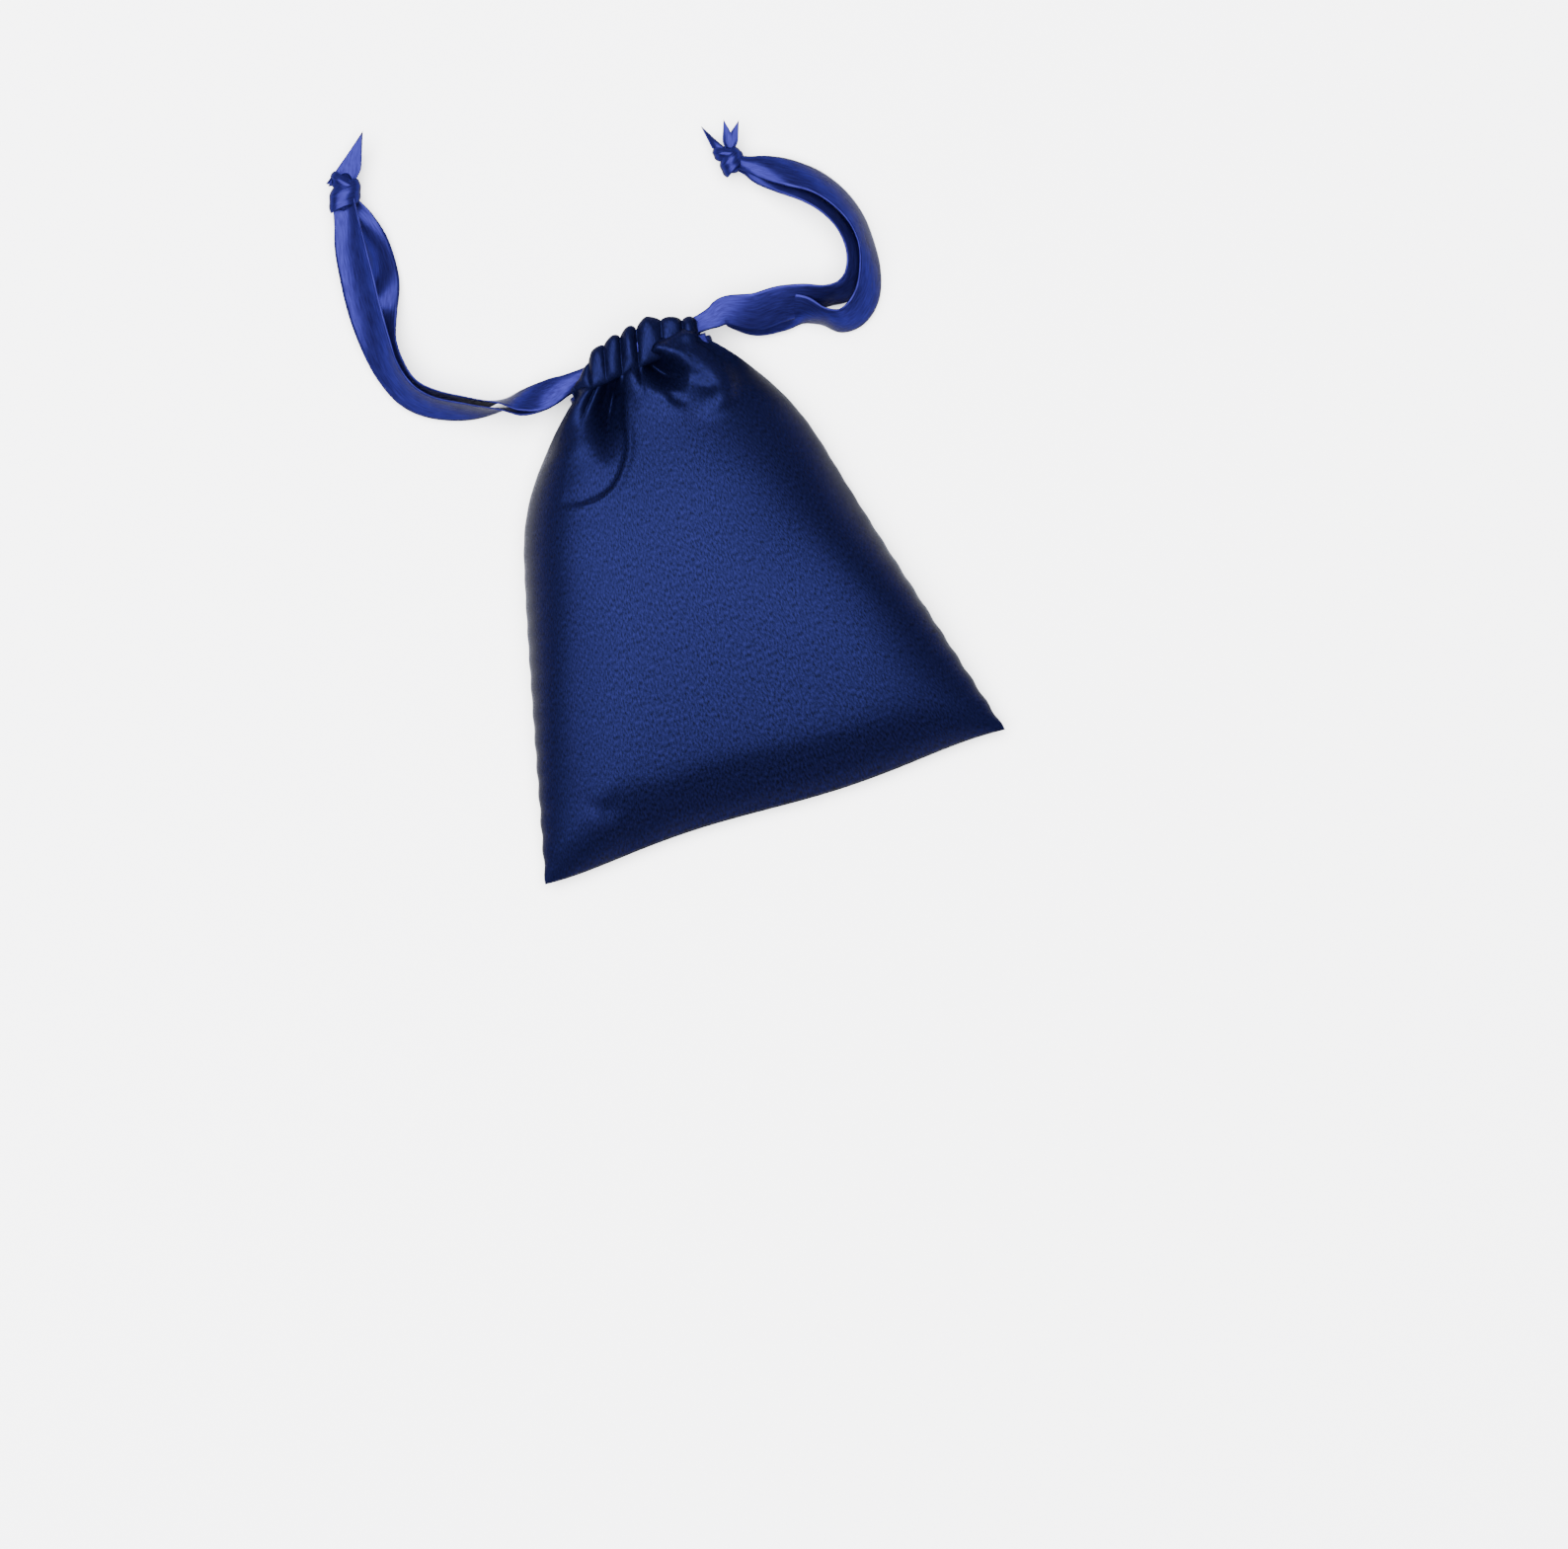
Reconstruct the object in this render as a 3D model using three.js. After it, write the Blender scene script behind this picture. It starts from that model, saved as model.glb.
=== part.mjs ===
// A satin drawstring gift pouch, lying on its back with its mouth drawn nearly shut.
//
// Two cloth panels are sewn together along the sides and the bottom. Each panel's top edge is turned
// over and stitched into a casing, and two ribbons run round through both casings. The left ribbon's
// ends leave at the left slit and are knotted together, and the right ribbon's at the right slit.
//
// Millimetres. X runs along the bottom seam, +Y points to the mouth, and the table is at z = 0.
// The origin is on the table, under the middle of the pouch.
import * as THREE from "three";

const { degToRad, lerp, smoothstep } = THREE.MathUtils;

// ---- Driving sizes ----------------------------------------------------------------------------

const CLOTH = 0.5; // the satin, as thick as it lies
const GAP = 0.3; // between pieces that touch

const BOTTOM_WIDTH = 114; // along the bottom seam
const BODY_LENGTH = 107; // bottom seam to the casing's stitch line
const SHOULDER_WIDTH = 76; // where the straight sides end and the drawn-in shoulders begin
const SHOULDER_AT = 74; // from the bottom seam
const PUFF = 22; // height of the fullest place
const FULLEST_AT = 70; // from the bottom seam
const SEAM_RISE = 3; // the sewn edges are lifted this far off the table

const MOUTH_WIDTH = 34; // the drawn-up casing, end to end
const MOUTH_SHIFT = 3; // to the right of the pouch's middle
const MOUTH_TILT = degToRad(6); // the mouth isn't square to the bottom seam
const MOUTH_GAP = 6; // between the casings at the middle of the mouth
const SLIT_GAP = 3; // between the casings at the two ends, where the ribbons leave
const CASING_DEPTH = 11.5; // stitch line to crest
const CASING_THICK = 5; // a casing with its gathers and ribbons
const CREST_DROP = 0.6; // the crest is this much lower at its ends
const NECK_RISE = 2.2; // the back panel climbs this far to its casing

const STITCH = 0.6; // the row of stitches along a casing
const OVERLOCK_WIDTH = 4.5; // the overcast seam allowance inside the pouch
const OVERLOCK_THICK = 0.5;
const OVERLOCK_INSET = 2.2; // from the pouch's edge

const RIBBON_WIDTH = 9.5; // lying open
const RIBBON_THICK = 0.4;
const FOLDED_THICK = 0.7; // a ribbon folded lengthwise, as it runs in a casing and leaves a slit
const BAND_INSET = 1.2; // from a casing's edge to the ribbon next to it
const BAND_GAP = 1; // between the two ribbons, side by side in a casing
const RUN_LEVEL = 0.6; // the left ribbon runs this far above a casing's middle, the right one below
const TURN_BULGE = 1.4; // how far a ribbon stands out of the far slit, where it turns back
const STRAND_STEP = 1.4; // a ribbon's front strand leaves this far above its back strand
const FREE_TRAVEL = 7; // a strand stays folded this far out, so that it can be drawn in

const KNOT_HEIGHT = 7;
// A knot's middle is placed from its slit; its length lies along the turned direction.
const LEFT_KNOT = { at: [-35.0, 61.1], length: 8.4, width: 10.2, turn: degToRad(68) };
const RIGHT_KNOT = { at: [19.4, 34.7], length: 8, width: 6.8, turn: degToRad(140) };

const SATIN = { color: 0x27347c, roughness: 0.42, metalness: 0 };
const RIBBON = { color: 0x2b3f9c, roughness: 0.36, metalness: 0 };
const THREAD = { color: 0x1f2a66, roughness: 0.6, metalness: 0 };

// ---- Sizes that follow ------------------------------------------------------------------------

const backTop = GAP + CASING_THICK; // top of the back casing
const frontMiddle = backTop + MOUTH_GAP + CASING_THICK / 2; // front casing's mid-height, mid-mouth
const backMiddle = GAP + CASING_THICK / 2;
const frontSeam = SEAM_RISE + CLOTH + GAP; // where the front panel's rim sits
const stitchRoom = STITCH + 2 * GAP; // between a panel's end and its casing
const crest = stitchRoom + CASING_DEPTH - CREST_DROP; // at the mouth's ends, from the stitch line
const crestRise = (MOUTH_WIDTH / 2) * Math.sin(MOUTH_TILT) + crest * Math.cos(MOUTH_TILT);
const pouchLength = BODY_LENGTH + crestRise;
// Two folded ribbons share a casing's depth.
const foldedWidth = (CASING_DEPTH - CREST_DROP - 2 * BAND_INSET - BAND_GAP) / 2;
const lowerBand = BAND_INSET + foldedWidth / 2; // middle of the ribbon nearer the stitch line
const upperBand = lowerBand + foldedWidth + BAND_GAP; // middle of the ribbon nearer the crest

// ---- Making a named mesh ----------------------------------------------------------------------

const pouch = new THREE.Group();
pouch.position.y = -pouchLength / 2; // every piece is placed from the bottom seam

// The casings and what runs in them are placed from the middle of the stitch line.
const neck = new THREE.Group();
neck.position.set(MOUTH_SHIFT, BODY_LENGTH, 0);
neck.rotation.z = MOUTH_TILT;
pouch.add(neck);

function add(parent, name, geometry, finish) {
  const mesh = new THREE.Mesh(geometry, new THREE.MeshStandardMaterial(finish));
  mesh.name = name;
  parent.add(mesh);
  return mesh;
}

// Moves every corner of a geometry to place(x, y, z), which returns a Vector3.
function bend(geometry, place) {
  const at = geometry.attributes.position;
  for (let i = 0; i < at.count; i++) {
    const p = place(at.getX(i), at.getY(i), at.getZ(i));
    at.setXYZ(i, p.x, p.y, p.z);
  }
  geometry.computeVertexNormals();
  return geometry;
}

// A flat strip along a curve. across(u, along) is the strip's own width there, as a vector.
function strip(curve, steps, thickness, across) {
  const box = new THREE.BoxGeometry(1, 1, 1, steps, 1, 1);
  return bend(box, (x, y, z) => {
    const u = x + 0.5;
    const along = curve.getTangent(u);
    const wide = across(u, along);
    const face = along.clone().cross(wide).normalize();
    return curve.getPoint(u).addScaledVector(wide, y).addScaledVector(face, z * thickness);
  });
}

// ---- The panels -------------------------------------------------------------------------------

// Half the pouch's width at a distance y from the bottom seam: straight sides, then shoulders that
// leave them smoothly and curve in to the mouth.
function halfWidth(y) {
  const bottom = BOTTOM_WIDTH / 2;
  const shoulder = SHOULDER_WIDTH / 2;
  const mouth = MOUTH_WIDTH / 2;
  if (y <= SHOULDER_AT) return lerp(bottom, shoulder, y / SHOULDER_AT);
  const taper = (bottom - shoulder) / SHOULDER_AT;
  const straight = Math.min(1, (taper * (BODY_LENGTH - SHOULDER_AT)) / (shoulder - mouth));
  const t = (y - SHOULDER_AT) / (BODY_LENGTH - SHOULDER_AT);
  return lerp(shoulder, mouth, straight * t + (1 - straight) * Math.pow(t, 2.4));
}

// A point of the pouch's outline plane: s runs from -1 at the left seam to 1 at the right one.
function onRow(s, y, z, inset = 0) {
  const t = y / BODY_LENGTH;
  const reach = s * (halfWidth(y) - inset);
  const turn = MOUTH_TILT * Math.pow(t, 4);
  const middle = MOUTH_SHIFT * Math.pow(t, 6);
  return new THREE.Vector3(middle + reach * Math.cos(turn), y + reach * Math.sin(turn), z);
}

// Height of the front panel's ridge line.
function crown(y) {
  const low = frontSeam + CLOTH;
  const neckTop = frontMiddle + CLOTH / 2;
  if (y < FULLEST_AT) return lerp(low, PUFF, Math.sin((Math.PI / 2) * Math.pow(y / FULLEST_AT, 0.75)));
  return lerp(PUFF, neckTop, smoothstep(y, FULLEST_AT, BODY_LENGTH));
}

// Height of the back panel's underside: flat on the table, and lifted at the seams and the neck.
function backRise(s, y) {
  const side = smoothstep(Math.abs(s), 0.62, 1);
  const bottom = 1 - smoothstep(y, 0, 12);
  const neckward = smoothstep(y, BODY_LENGTH - 20, BODY_LENGTH);
  return Math.max(SEAM_RISE * (1 - (1 - side) * (1 - bottom)), NECK_RISE * neckward);
}

// A panel starts as a box of segments: x runs across, y up the pouch and z through the cloth.
const panelBox = () => new THREE.BoxGeometry(2, 1, 1, 22, 18, 1);
const acrossShare = (x) => Math.sin((x * Math.PI) / 2); // closer together near the seams

function frontPanel() {
  return bend(panelBox(), (x, y, z) => {
    const s = acrossShare(x);
    const along = (y + 0.5) * BODY_LENGTH;
    const inset = z > 0 ? 0 : CLOTH;
    const dome = Math.pow(1 - Math.pow(Math.abs(s), 2.4), 0.6);
    return onRow(s, along, frontSeam + (crown(along) - inset - frontSeam) * dome, inset);
  });
}

function backPanel() {
  return bend(panelBox(), (x, y, z) => {
    const s = acrossShare(x);
    const along = (y + 0.5) * BODY_LENGTH;
    return onRow(s, along, backRise(s, along) + (z > 0 ? CLOTH : 0));
  });
}

add(pouch, "front_panel", frontPanel(), SATIN);
add(pouch, "back_panel", backPanel(), SATIN);

// ---- The seams' overcast allowances, inside the pouch -------------------------------------------

const overlockZ = frontSeam + GAP / 2 + OVERLOCK_THICK / 2;

// Along a side, side = -1 on the left and 1 on the right.
function sideOverlock(side) {
  const from = 0.12 * BODY_LENGTH;
  const to = 0.9 * BODY_LENGTH;
  const box = new THREE.BoxGeometry(1, 1, 1, 1, 16, 1);
  return bend(box, (x, y, z) => {
    const along = lerp(from, to, y + 0.5);
    const inset = OVERLOCK_INSET + (0.5 - x * side) * OVERLOCK_WIDTH;
    return onRow(side, along, overlockZ + z * OVERLOCK_THICK, inset);
  });
}

function bottomOverlock() {
  const length = 0.7 * BOTTOM_WIDTH;
  const box = new THREE.BoxGeometry(length, OVERLOCK_WIDTH, OVERLOCK_THICK, 14, 1, 1);
  return box.translate(0, OVERLOCK_INSET + OVERLOCK_WIDTH / 2, overlockZ);
}

add(pouch, "left_seam_overlock", sideOverlock(-1), THREAD);
add(pouch, "right_seam_overlock", sideOverlock(1), THREAD);
add(pouch, "bottom_seam_overlock", bottomOverlock(), THREAD);

// ---- The casings ------------------------------------------------------------------------------

// The front casing arches over the mouth, and the back one lies flat.
const arch = (x) => (MOUTH_GAP - SLIT_GAP) * Math.pow((2 * x) / MOUTH_WIDTH, 2);
const frontLevel = (x) => frontMiddle - arch(x);
const backLevel = () => backMiddle;

// A rounded outline, inset from the casing's own by the given amount.
function casingOutline(PathClass, inset) {
  const r = CASING_THICK / 2 - inset;
  const far = CASING_DEPTH - inset - r;
  const near = inset + r;
  const path = new PathClass();
  path.moveTo(near, -r);
  path.lineTo(far, -r);
  path.absarc(far, 0, r, -Math.PI / 2, Math.PI / 2);
  path.lineTo(near, r);
  path.absarc(near, 0, r, Math.PI / 2, (3 * Math.PI) / 2);
  return path;
}

// A tunnel of cloth, open at both ends. level(x) is the height of its middle.
function casing(level) {
  const section = casingOutline(THREE.Shape, 0);
  section.holes.push(casingOutline(THREE.Path, CLOTH));
  const options = { depth: MOUTH_WIDTH, steps: 14, bevelEnabled: false, curveSegments: 6 };
  const tunnel = new THREE.ExtrudeGeometry(section, options);
  return bend(tunnel, (y, z, along) => {
    const x = along - MOUTH_WIDTH / 2;
    const drop = CREST_DROP * Math.pow((2 * x) / MOUTH_WIDTH, 2);
    return new THREE.Vector3(x, stitchRoom + y * (1 - drop / CASING_DEPTH), z + level(x));
  });
}

add(neck, "front_casing", casing(frontLevel), SATIN);
add(neck, "back_casing", casing(backLevel), SATIN);

// The row of stitches that closes a casing, between the panel's end and the tunnel.
function stitching(level) {
  const reach = MOUTH_WIDTH / 2 - 1;
  const points = [-1, -0.5, 0, 0.5, 1].map((s) => {
    return new THREE.Vector3(s * reach, GAP + STITCH / 2, level(s * reach));
  });
  const round = new THREE.Shape().absellipse(0, 0, STITCH / 2, STITCH / 2, 0, 2 * Math.PI);
  const extrudePath = new THREE.CatmullRomCurve3(points);
  return new THREE.ExtrudeGeometry(round, { extrudePath, steps: 14, curveSegments: 4 });
}

add(neck, "front_casing_stitching", stitching(frontLevel), THREAD);
add(neck, "back_casing_stitching", stitching(backLevel), THREAD);

// ---- The ribbons inside the casings --------------------------------------------------------------

// Both ribbons cross in each casing: a ribbon comes in at its own slit next to the stitch line, and
// leaves for the other casing at the far slit, next to the crest. home is -1 for the left ribbon and
// 1 for the right one.
const runHeight = (home) => (home < 0 ? RUN_LEVEL : -RUN_LEVEL);
const alongY = () => new THREE.Vector3(0, foldedWidth, 0);

function run(home, level) {
  const start = home * (MOUTH_WIDTH / 2 - FREE_TRAVEL);
  const end = -home * (MOUTH_WIDTH / 2 - GAP);
  const points = [0, 0.25, 0.5, 0.75, 1].map((t) => {
    const x = lerp(start, end, t);
    const y = stitchRoom + lerp(lowerBand, upperBand, smoothstep(t, 0.1, 0.8));
    return new THREE.Vector3(x, y, level(x) + runHeight(home));
  });
  return strip(new THREE.CatmullRomCurve3(points), 14, FOLDED_THICK, alongY);
}

// The short loop outside the far slit, from the front casing to the back one.
function turn(home) {
  const side = -home;
  const x = side * (MOUTH_WIDTH / 2 + GAP);
  const high = frontLevel(MOUTH_WIDTH / 2) + runHeight(home);
  const low = backMiddle + runHeight(home);
  const bulge = side * TURN_BULGE;
  const y = stitchRoom + upperBand;
  const points = [
    [x, high],
    [x + 0.6 * bulge, lerp(high, low, 0.1)],
    [x + bulge, lerp(high, low, 0.5)],
    [x + 0.6 * bulge, lerp(high, low, 0.9)],
    [x, low],
  ].map(([px, pz]) => new THREE.Vector3(px, y, pz));
  return strip(new THREE.CatmullRomCurve3(points), 12, FOLDED_THICK, alongY);
}

for (const [name, home] of [["left_ribbon", -1], ["right_ribbon", 1]]) {
  add(neck, name + "_front_run", run(home, frontLevel), RIBBON);
  add(neck, name + "_back_run", run(home, backLevel), RIBBON);
  add(neck, name + "_turn", turn(home), RIBBON);
}

// ---- The ribbons' free strands --------------------------------------------------------------------

// A strand leaves its slit straight and folded, then opens to its full width, twists over and lies
// standing on the table. Each row is a point beyond that: x, y, height of the ribbon's middle, roll in
// degrees, and how much of the ribbon's width is open, with x and y from the middle of the slit. A
// positive roll tips up the edge on the left of the way out.
const LEFT_FRONT = [
  [-11.6, 0.0, 7.1, 38, 0.72],
  [-16.0, 1.2, 6.0, 76, 0.93],
  [-23.5, 3.0, 5.0, 108, 1],
  [-30.9, 6.6, 4.8, 119, 1],
  [-35.6, 10.8, 4.6, 126, 1],
  [-38.0, 16.9, 4.2, 136, 1],
  [-38.4, 24.1, 3.6, 152, 0.93],
  [-36.2, 31.1, 3.2, 182, 0.84],
  [-33.0, 38.3, 3.3, 220, 0.86],
  [-32.4, 45.5, 3.6, 222, 0.80],
  [-33.6, 51.9, 3.3, 202, 0.63],
  [-35.2, 56.0, 3.1, 186, 0.55],
];
const LEFT_BACK = [
  [-11.8, -1.4, 5.7, 40, 0.72],
  [-16.2, -0.6, 5.4, 80, 0.93],
  [-24.0, 1.5, 5.4, 108, 1],
  [-31.8, 5.2, 5.3, 118, 1],
  [-36.6, 10.0, 5.2, 125, 1],
  [-39.0, 16.7, 5.1, 131, 1],
  [-39.6, 24.1, 5.0, 142, 1],
  [-39.5, 31.9, 5.2, 149, 1],
  [-38.8, 39.5, 5.5, 149, 1],
  [-38.0, 46.5, 5.8, 152, 0.91],
  [-37.0, 52.1, 5.6, 162, 0.69],
  [-36.3, 56.3, 5.2, 172, 0.57],
];
const RIGHT_FRONT = [
  [13.1, -0.5, 7.2, -14, 0.89],
  [19.1, -0.9, 7.0, -44, 1],
  [24.7, -2.2, 6.4, -76, 1],
  [30.1, -3.5, 6.2, -92, 1],
  [34.9, -3.1, 6.1, -100, 1],
  [38.7, -0.1, 5.9, -104, 1],
  [40.5, 5.1, 5.6, -108, 1],
  [40.1, 11.1, 5.2, -114, 1],
  [37.7, 17.1, 4.9, -122, 1],
  [33.7, 22.3, 4.4, -130, 0.95],
  [28.9, 26.3, 3.6, -146, 0.78],
  [24.7, 29.5, 3.0, -168, 0.57],
  [22.6, 31.5, 2.9, -176, 0.48],
];
const RIGHT_BACK = [
  [12.9, -2.5, 4.6, -12, 0.89],
  [18.5, -3.5, 4.6, -42, 1],
  [23.5, -4.3, 5.0, -72, 1],
  [27.7, -7.7, 5.0, -96, 1],
  [31.7, -10.2, 5.0, -112, 1],
  [36.1, -9.5, 5.0, -116, 1],
  [39.9, -6.1, 5.0, -116, 1],
  [42.4, -0.5, 5.0, -114, 1],
  [43.3, 5.9, 5.0, -115, 1],
  [42.8, 12.1, 5.1, -118, 1],
  [40.5, 17.9, 5.2, -124, 1],
  [36.7, 23.1, 5.3, -130, 1],
  [31.7, 26.9, 5.5, -142, 0.91],
  [26.7, 29.8, 5.5, -158, 0.69],
  [22.7, 32.0, 5.4, -174, 0.48],
];

// The straight folded stretch outside a slit, in the same form. side is -1 at the left slit.
function outOfSlit(side, height) {
  return [GAP, FREE_TRAVEL / 2, FREE_TRAVEL].map((out) => {
    const reach = side * out;
    const folded = foldedWidth / RIBBON_WIDTH;
    return [reach * Math.cos(MOUTH_TILT), reach * Math.sin(MOUTH_TILT), height, 0, folded];
  });
}

function strand(side, height, rows) {
  const all = [...outOfSlit(side, height), ...rows];
  const curve = new THREE.CatmullRomCurve3(all.map(([x, y, z]) => new THREE.Vector3(x, y, z)));
  const column = (k, u) => {
    const at = u * (all.length - 1);
    const i = Math.min(Math.floor(at), all.length - 2);
    return lerp(all[i][k], all[i + 1][k], at - i);
  };
  return strip(curve, 3 * (all.length - 1), RIBBON_THICK, (u, along) => {
    const roll = degToRad(column(3, u));
    const level = new THREE.Vector3(0, 0, 1).cross(along).normalize();
    const wide = level.multiplyScalar(Math.cos(roll));
    wide.z = Math.sin(roll);
    return wide.normalize().multiplyScalar(column(4, u) * RIBBON_WIDTH);
  });
}

// What hangs at a slit is placed from the middle of that slit.
function sideGroup(side) {
  const group = new THREE.Group();
  group.position.set(side * (MOUTH_WIDTH / 2), stitchRoom + lowerBand, 0);
  group.position.applyAxisAngle(new THREE.Vector3(0, 0, 1), MOUTH_TILT).add(neck.position);
  pouch.add(group);
  return group;
}

const left = sideGroup(-1);
const right = sideGroup(1);
const slitHeight = backTop + SLIT_GAP / 2;
const frontStrand = slitHeight + STRAND_STEP / 2;
const backStrand = slitHeight - STRAND_STEP / 2;
add(left, "left_ribbon_front_strand", strand(-1, frontStrand, LEFT_FRONT), RIBBON);
add(left, "left_ribbon_back_strand", strand(-1, backStrand, LEFT_BACK), RIBBON);
add(right, "right_ribbon_front_strand", strand(1, frontStrand, RIGHT_FRONT), RIBBON);
add(right, "right_ribbon_back_strand", strand(1, backStrand, RIGHT_BACK), RIBBON);

// ---- The knots and the cut tails ------------------------------------------------------------------

function knot({ at, length, width, turn: angle }) {
  const ball = new THREE.SphereGeometry(0.5, 16, 10);
  ball.scale(length, width, KNOT_HEIGHT);
  ball.rotateZ(angle);
  return ball.translate(at[0], at[1], KNOT_HEIGHT / 2 + GAP);
}

// A ribbon's end beyond the knot, cut to a point.
function tail(from, to, width) {
  const curve = new THREE.LineCurve3(new THREE.Vector3(...from), new THREE.Vector3(...to));
  return strip(curve, 6, RIBBON_THICK, (u, along) => {
    const level = new THREE.Vector3(0, 0, 1).cross(along).normalize();
    return level.multiplyScalar(width * (1 - 0.9 * u));
  });
}

add(left, "left_knot", knot(LEFT_KNOT), RIBBON);
add(left, "left_tail_front", tail([-33.2, 65.4, 4.6], [-27.9, 71.5, 4.2], 5.4), RIBBON);
add(left, "left_tail_back", tail([-33.6, 65.4, 3.2], [-30.8, 70.3, 1.2], 4.6), RIBBON);
add(right, "right_knot", knot(RIGHT_KNOT), RIBBON);
add(right, "right_tail_front", tail([20.1, 38.7, 4.2], [22.3, 42.9, 5.2], 4.4), RIBBON);
add(right, "right_tail_back", tail([17.6, 38.6, 3.2], [17.0, 44.1, 2.6], 3.4), RIBBON);

const assembly = new THREE.Group();
assembly.add(pouch);
export default assembly;
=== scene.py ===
# A royal-blue satin drawstring gift pouch, lying on its back on a pale table with its mouth drawn
# nearly shut and its two ribbons spread out. Metres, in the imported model's frame.
import math

import bpy
import numpy as np
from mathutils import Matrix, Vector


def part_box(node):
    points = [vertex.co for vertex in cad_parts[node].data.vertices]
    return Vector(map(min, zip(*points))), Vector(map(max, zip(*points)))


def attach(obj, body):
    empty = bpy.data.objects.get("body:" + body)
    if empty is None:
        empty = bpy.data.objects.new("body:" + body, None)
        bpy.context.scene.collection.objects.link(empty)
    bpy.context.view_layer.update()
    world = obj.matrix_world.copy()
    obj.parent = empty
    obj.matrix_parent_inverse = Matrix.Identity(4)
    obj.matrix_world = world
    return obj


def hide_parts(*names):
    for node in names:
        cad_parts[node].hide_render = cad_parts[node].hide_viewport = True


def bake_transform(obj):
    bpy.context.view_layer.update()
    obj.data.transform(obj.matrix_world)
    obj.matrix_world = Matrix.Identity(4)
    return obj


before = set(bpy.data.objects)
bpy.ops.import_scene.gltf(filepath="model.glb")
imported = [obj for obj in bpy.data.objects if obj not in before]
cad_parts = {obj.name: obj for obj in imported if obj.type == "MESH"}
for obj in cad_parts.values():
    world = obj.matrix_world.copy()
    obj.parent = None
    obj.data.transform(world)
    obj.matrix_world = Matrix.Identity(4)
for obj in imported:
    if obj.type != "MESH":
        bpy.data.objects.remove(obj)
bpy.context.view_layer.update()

# ---- Table, light and camera --------------------------------------------------------------------
# A plain near-white table under one broad soft light from beyond the pouch's mouth, with a little
# fill from all round. The camera looks straight down, turned about the upright axis.

TABLE_WIDTH = 8.0
TABLE_LEVEL = -0.0002
VIEW_CENTRE = (0.0044, -0.0538)
VIEW_WIDTH = 0.3697
VIEW_TURN = math.radians(-18.62)
LENS = 0.100
SENSOR = 0.036
KEY_PLACE = (-0.20, 0.16, 1.60)
KEY_SIZE = 2.4
KEY_POWER = 300.0
FILL_STRENGTH = 0.35


def linear(colour):
    """An sRGB hex value as a linear colour."""
    channels = [((colour >> shift) & 255) / 255 for shift in (16, 8, 0)]
    return [c / 12.92 if c <= 0.04045 else ((c + 0.055) / 1.055) ** 2.4 for c in channels] + [1]


def add_node(tree, kind, inputs=None, **settings):
    """A shader node. An input is given a value, or another node's output to link from."""
    made = tree.nodes.new(kind)
    for name, value in settings.items():
        setattr(made, name, value)
    for name, value in (inputs or {}).items():
        if isinstance(value, bpy.types.NodeSocket):
            tree.links.new(value, made.inputs[name])
        else:
            made.inputs[name].default_value = value
    return made


def new_material(name):
    """An empty node material, its tree, and its output."""
    material = bpy.data.materials.new(name)
    material.use_nodes = True
    material.node_tree.nodes.clear()
    return material, material.node_tree


def finish_material(material, shader):
    add_node(material.node_tree, "ShaderNodeOutputMaterial", {"Surface": shader.outputs["BSDF"]})
    return material


def table_paint():
    """Matt white painted board: no grain, and hardly any gloss."""
    material, tree = new_material("matt_white_board")
    shader = add_node(tree, "ShaderNodeBsdfPrincipled", {"Base Color": linear(0xF4F4F6), "Roughness": 0.9})
    return finish_material(material, shader)


bpy.ops.object.select_all(action="DESELECT")
bpy.ops.mesh.primitive_plane_add(size=TABLE_WIDTH, location=(0, 0, TABLE_LEVEL))
table = bpy.context.object
table.name = "table_top"
table.data.materials.append(table_paint())

view_height = VIEW_WIDTH * LENS / SENSOR
bpy.ops.object.camera_add(location=(*VIEW_CENTRE, view_height), rotation=(0, 0, VIEW_TURN))
camera = bpy.context.object
camera.data.lens = LENS * 1000
camera.data.sensor_width = SENSOR * 1000
camera.data.clip_start = 0.01
bpy.context.scene.camera = camera

to_table = -math.atan2(math.hypot(KEY_PLACE[0], KEY_PLACE[1]), KEY_PLACE[2])
key_heading = math.atan2(KEY_PLACE[1], KEY_PLACE[0]) - math.pi / 2
bpy.ops.object.light_add(type="AREA", location=KEY_PLACE, rotation=(to_table, 0, key_heading))
key = bpy.context.object
key.name = "key_light"
key.data.shape = "SQUARE"
key.data.size = KEY_SIZE
key.data.energy = KEY_POWER

world = bpy.data.worlds.new("studio")
bpy.context.scene.world = world
world.use_nodes = True
world.node_tree.nodes["Background"].inputs["Color"].default_value = (1, 1, 1, 1)
world.node_tree.nodes["Background"].inputs["Strength"].default_value = FILL_STRENGTH

# ---- Free ribbon strands ------------------------------------------------------------------------
# Each ribbon is 9.5 mm double-faced satin ribbon. Its two ends leave one slit folded lengthwise,
# open out, twist over and stand on the table, one behind the other, as far as their knot.

RIBBON_WIDTH = 0.0095
RIBBON_THICK = 0.00028
SLIT_OUT = 0.007  # a strand runs straight this far outside its slit
SLIT_IN = 0.008  # and it starts this far inside
MOUTH_TILT = math.radians(6)
LEFT_SLIT = np.array((-0.014354, 0.049070, 0))
RIGHT_SLIT = np.array((0.019460, 0.052624, 0))
FRONT_STRAND = 0.0075  # height of the strand as it leaves the slit
BACK_STRAND = 0.0061
FOLDED_SHARE = 0.40  # of the ribbon's width, while it is folded in its slit

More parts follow.
